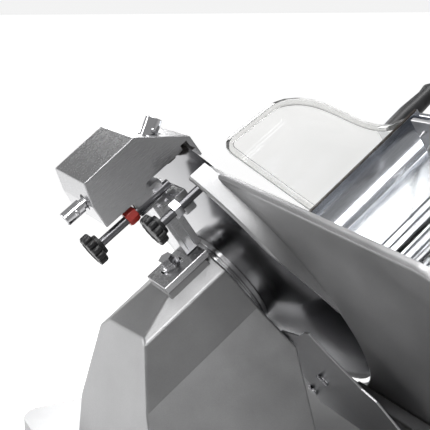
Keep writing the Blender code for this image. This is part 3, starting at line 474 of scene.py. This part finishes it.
def make_coil(name, body, node, wire=0.8, turns=9):
    """A wound spring of the outer size of its node."""
    low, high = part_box(node)
    middle = (low + high) / 2 - CENTRE
    s, y, u = (middle.dot(v) / MM for v in (ACROSS, REAR, UP))
    size = (high - low) / MM
    outer = size.y / 2
    half = (size.x - 2 * outer * abs(UP.x)) / abs(ACROSS.x) / 2
    bm = bmesh.new()
    rings, steps = [], turns * 24
    for i in range(steps + 1):
        angle = math.tau * turns * i / steps
        along = s - half + wire + (2 * half - 2 * wire) * i / steps
        out = Vector((0, math.cos(angle), math.sin(angle)))
        rings.append([head(along + wire * math.sin(b),
                           y + (outer - wire + wire * math.cos(b)) * out.y,
                           u + (outer - wire + wire * math.cos(b)) * out.z)
                      for b in (math.tau * k / 8 for k in range(8))])
    skin_rings(bm, rings)
    piece(name, bm, "dark_steel", body, (node,))


def strip_along(name, path, section, look, closed=True, y0=0.0):
    """Sweeps a (side, y) section along a path of (s, u) points; side is to the left of travel."""
    bm = bmesh.new()
    count = len(path)
    rows = []
    for i in range(count):
        here = Vector(path[i])
        back = Vector(path[i - 1]) if closed or i else here
        ahead = Vector(path[(i + 1) % count]) if closed or i < count - 1 else here
        way = (ahead - back).normalized()
        side = Vector((-way.y, way.x))
        rows.append([bm.verts.new(head(here.x + side.x * a, y0 + b, here.y + side.y * a))
                     for a, b in section])
    size = len(section)
    for i in range(count if closed else count - 1):
        a, b = rows[i], rows[(i + 1) % count]
        for k in range(size):
            m = (k + 1) % size
            bm.faces.new((a[k], b[k], b[m], a[m]))
    if not closed:
        bm.faces.new(rows[0])
        bm.faces.new(rows[-1])
    return piece(name, bm, look, "carriage")


def eased(points, rounds=3):
    """A closed outline with its corners cut again and again, so it curves without overshoot."""
    made = [Vector(p) for p in points]
    for _ in range(rounds):
        made = [a.lerp(b, t) for a, b in zip(made, made[1:] + made[:1]) for t in (0.25, 0.75)]
    return made


GUARD_OUTLINE = [(-151, -114), (-147, -106), (-125, -42), (-101, 31), (-99.2, 38), (-101.5, 46.2),
                 (-106.5, 50), (-112, 50.8), (-145, 48.4), (-178, 46), (-192, 40), (-208, 29),
                 (-222, 15), (-234, -1), (-245, -19), (-256, -38), (-268, -57), (-281, -73),
                 (-296, -85), (-318, -94), (-328, -98), (-329, -106), (-328, -115), (-320, -117),
                 (-240, -117), (-160, -117)]


def make_guard_bead():
    """The moulded bead round the clear guard, proud of its far face."""
    inside = 4.6
    far_face = -134.1
    bead = [(inside - 4.0, 0), (inside - 3.6, -1.5), (inside - 1.6, -2.4), (inside + 1.6, -2.4),
            (inside + 3.6, -1.5), (inside + 4.0, 0)]
    strip_along("guard_bead", eased(GUARD_OUTLINE), bead, "clear", True, far_face)


def make_fence_seal():
    """A dark double-lipped seal along the fence's top edge."""
    top = -91.9
    path = [(-333, top), (-180, top), (-22, top)]
    lips = [(0, -125.6), (0.9, -125.6), (1.9, -125.0), (1.9, -124.4), (0.8, -123.9),
            (1.7, -123.2), (1.7, -122.6), (0.7, -122.2), (0, -122.2)]
    strip_along("fence_seal", path, lips, "seal", False)


def make_pieces():
    make_guard_bead()
    make_fence_seal()
    make_knob("clamp_knob", "clamp_screw", 42, 139)
    make_knob("setting_knob", "set_screw", 61, 123.5)
    make_coil("spring_coil", "frame", "grind_spring")
    for body, button, place in (("grinder", "grind_button", head(98, 36.6, 172)),
                                ("deburr_press", "deburr_button", head(2.6, 37.6, 182.8))):
        make_rivet(button + "_screw", body, place, REAR, 2.2)


make_pieces()


# ---------------------------------------------------------------- stage, light and camera
def area(name, place, target, size, watts):
    """A soft box that the camera doesn't see."""
    light = bpy.data.lights.new(name, "AREA")
    light.shape, light.size, light.size_y = "RECTANGLE", size[0], size[1]
    light.energy = watts
    obj = bpy.data.objects.new(name, light)
    obj.location = place
    obj.rotation_euler = (Vector(target) - Vector(place)).to_track_quat("-Z", "Y").to_euler()
    obj.visible_camera = False
    bpy.context.scene.collection.objects.link(obj)


def make_floor():
    """A pale floor with a faint glow of its own towards the front, as a lit studio sweep has."""
    mesh = bpy.data.meshes.new("floor")
    half = 40.0
    corners = [(-half, -half, 0), (half, -half, 0), (half, half, 0), (-half, half, 0)]
    mesh.from_pydata(corners, [], [(0, 1, 2, 3)])
    obj = bpy.data.objects.new("floor", mesh)
    bpy.context.scene.collection.objects.link(obj)
    n = Nodes("pale_floor")
    pale = n.mix(n.spread(n.noise(3), 0, 1), (0.84, 0.84, 0.84), (0.88, 0.88, 0.88))
    n.set(Base_Color=pale, Roughness=0.8)
    n.bump((n.noise(300), 0.05, 0.0005))
    depth = n.add("ShaderNodeSeparateXYZ")
    n.link(n.coords, depth.inputs[0])
    near = n.spread(depth.outputs["Y"], 0.45, 0.0, -0.6, 0.15)
    far = n.spread(depth.outputs["Y"], 0.3, 0.0, -2.6, -0.7)
    n.set(Emission_Color=(1.0, 1.0, 1.0), Emission_Strength=n.math("ADD", near, far))
    mesh.materials.append(n.material)


def make_light():
    """A dim room with a pale backdrop in front of the machine, and soft boxes over it."""
    world = bpy.data.worlds.new("studio")
    world.use_nodes = True
    bpy.context.scene.world = world
    tree = world.node_tree
    back = tree.nodes["Background"]
    split = tree.nodes.new("ShaderNodeSeparateXYZ")
    tree.links.new(tree.nodes.new("ShaderNodeTexCoord").outputs["Generated"], split.inputs[0])

    def ramp(value, start, end, low, high):
        node = tree.nodes.new("ShaderNodeMapRange")
        tree.links.new(value, node.inputs["Value"])
        for key, number in zip(RANGE_INPUTS, (start, end, low, high)):
            node.inputs[key].default_value = number
        return node.outputs[0]

    front = ramp(split.outputs["Y"], -0.1, -0.6, 0.0, 1.0)
    low = ramp(split.outputs["Z"], 0.16, 0.04, 0.0, 0.6)
    both = tree.nodes.new("ShaderNodeMath")
    both.operation = "MULTIPLY_ADD"
    both.inputs[2].default_value = 0.3
    tree.links.new(front, both.inputs[0])
    tree.links.new(low, both.inputs[1])
    tree.links.new(both.outputs[0], back.inputs["Color"])
    back.inputs["Strength"].default_value = 1.0
    area("tray_box", (-0.03, -0.85, 0.72), (-0.1, -0.14, 0.28), (0.36, 0.5), 4)
    area("key", (0.9, 0.9, 1.5), head(0, 0, 60), (0.5, 0.5), 9)
    area("top", (0.12, -0.1, 1.45), (-0.05, -0.14, 0.28), (0.5, 1.3), 11)
    area("side", (1.8, -0.9, 0.7), head(0, 0, 0), (0.5, 1.0), 9)


def make_camera():
    camera = bpy.data.objects.new("camera", bpy.data.cameras.new("camera"))
    camera.data.lens = 71.2
    camera.data.sensor_width = 36
    camera.data.clip_start = 0.02
    camera.location = CENTRE + Vector((0.4046, 0.7055, 0.2532))
    camera.rotation_euler = Vector((-0.4555, -0.8567, -0.2419)).to_track_quat("-Z", "Y").to_euler()
    bpy.context.scene.collection.objects.link(camera)
    bpy.context.scene.camera = camera


make_floor()
make_light()
make_camera()
bpy.context.scene.view_settings.view_transform = "Standard"
